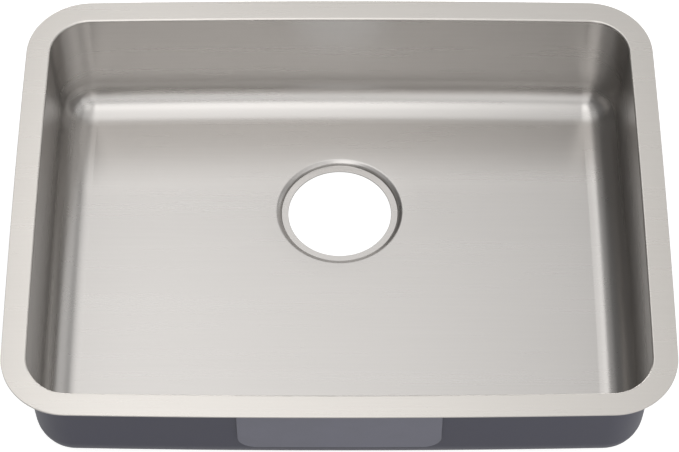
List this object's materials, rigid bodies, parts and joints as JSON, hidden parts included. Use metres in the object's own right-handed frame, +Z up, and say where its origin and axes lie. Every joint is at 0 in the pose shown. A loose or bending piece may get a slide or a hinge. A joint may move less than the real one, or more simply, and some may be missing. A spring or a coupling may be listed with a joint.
{
  "type": "kitchen sink",
  "caption": "Undermount kitchen sink: a deep-drawn steel bowl with a flat rim, rounded corners, a rear-set drain seat and rubber sound pads on its undercoated outside.",
  "frame": {"origin": "centre of the rim's top face, which bears on the underside of the worktop", "axes": "+X to the user's right along the long side, +Y towards the wall behind the sink, +Z up out of the bowl"},
  "size_m": [0.5358, 0.4152, 0.1139],
  "materials": {
    "steel": "fine brushed satin",
    "undercoat": "sprayed, dull slate grey",
    "pad_rubber": "smooth mid-grey rubber sheet"
  },
  "bodies": {
    "root": {"bowl": "steel", "undercoat": "undercoat", "front_pad": "pad_rubber", "rear_pad": "pad_rubber", "left_pad": "pad_rubber", "right_pad": "pad_rubber", "front_base_pad": "pad_rubber", "left_base_pad": "pad_rubber", "right_base_pad": "pad_rubber"}
  },
  "joints": []
}
